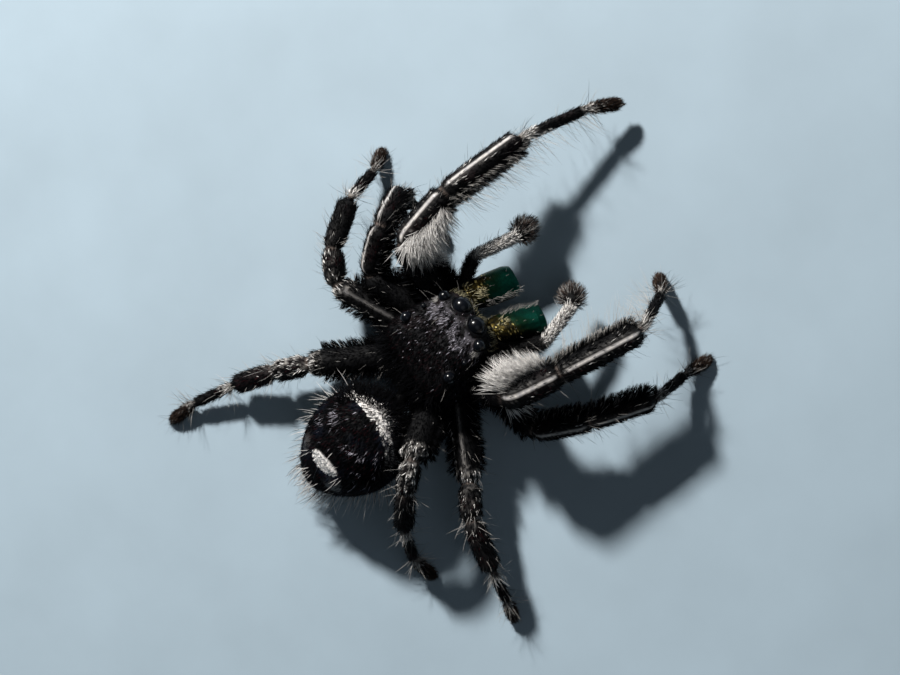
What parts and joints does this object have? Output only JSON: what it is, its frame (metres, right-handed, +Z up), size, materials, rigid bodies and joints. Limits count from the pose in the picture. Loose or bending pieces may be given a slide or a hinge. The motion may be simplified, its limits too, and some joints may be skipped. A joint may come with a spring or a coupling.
{
  "type": "jumping spider",
  "caption": "Life-size jumping spider standing with one front leg raised, a still display model of the whole animal.",
  "frame": {"origin": "bottom centre of the spider's box, on the floor it stands on", "axes": "+Z up, the spider faces -Y and its left side is towards +X"},
  "size_m": [0.017, 0.021, 0.0047],
  "materials": {
    "abdomen_coat": "short black scale coat with a white band and spot",
    "black_coat": "glossy black cuticle under sparse black and white hair",
    "eye": "clear wet gloss over black",
    "fang": "polished dark red-brown horn",
    "foot_brush": "dense dark brown brush of fine hair",
    "green_jaw": "iridescent green, golden at the base",
    "white_hair": "white scale hairs over black"
  },
  "bodies": {
    "root": {"abdomen": "abdomen_coat", "cephalothorax": "black_coat", "chelicera_left": "green_jaw", "chelicera_right": "green_jaw", "eye_front_main_left": "eye", "eye_front_main_right": "eye", "eye_front_side_left": "eye", "eye_front_side_right": "eye", "eye_rear_left": "eye", "eye_rear_right": "eye", "eye_small_left": "eye", "eye_small_right": "eye", "fang_left": "fang", "fang_right": "fang", "leg_1_left_femur": "black_coat", "leg_1_left_metatarsus": "black_coat", "leg_1_left_patella": "black_coat", "leg_1_left_tarsus": "foot_brush", "leg_1_left_tibia": "black_coat", "leg_1_right_femur": "black_coat", "leg_1_right_metatarsus": "black_coat", "leg_1_right_patella": "black_coat", "leg_1_right_tarsus": "foot_brush", "leg_1_right_tibia": "black_coat", "leg_2_left_femur": "black_coat", "leg_2_left_metatarsus": "black_coat", "leg_2_left_patella": "black_coat", "leg_2_left_tarsus": "foot_brush", "leg_2_left_tibia": "black_coat", "leg_2_right_femur": "black_coat", "leg_2_right_metatarsus": "black_coat", "leg_2_right_patella": "black_coat", "leg_2_right_tarsus": "foot_brush", "leg_2_right_tibia": "black_coat", "leg_3_left_femur": "black_coat", "leg_3_left_metatarsus": "black_coat", "leg_3_left_patella": "black_coat", "leg_3_left_tarsus": "foot_brush", "leg_3_left_tibia": "black_coat", "leg_3_right_femur": "black_coat", "leg_3_right_metatarsus": "black_coat", "leg_3_right_patella": "black_coat", "leg_3_right_tarsus": "foot_brush", "leg_3_right_tibia": "black_coat", "leg_4_left_femur": "black_coat", "leg_4_left_metatarsus": "black_coat", "leg_4_left_patella": "black_coat", "leg_4_left_tarsus": "foot_brush", "leg_4_left_tibia": "black_coat", "leg_4_right_femur": "black_coat", "leg_4_right_metatarsus": "black_coat", "leg_4_right_patella": "black_coat", "leg_4_right_tarsus": "foot_brush", "leg_4_right_tibia": "black_coat", "palp_left_arm": "white_hair", "palp_left_bulb": "black_coat", "palp_right_arm": "white_hair", "palp_right_bulb": "black_coat", "pedicel": "black_coat", "spinnerets": "abdomen_coat"}
  },
  "joints": []
}
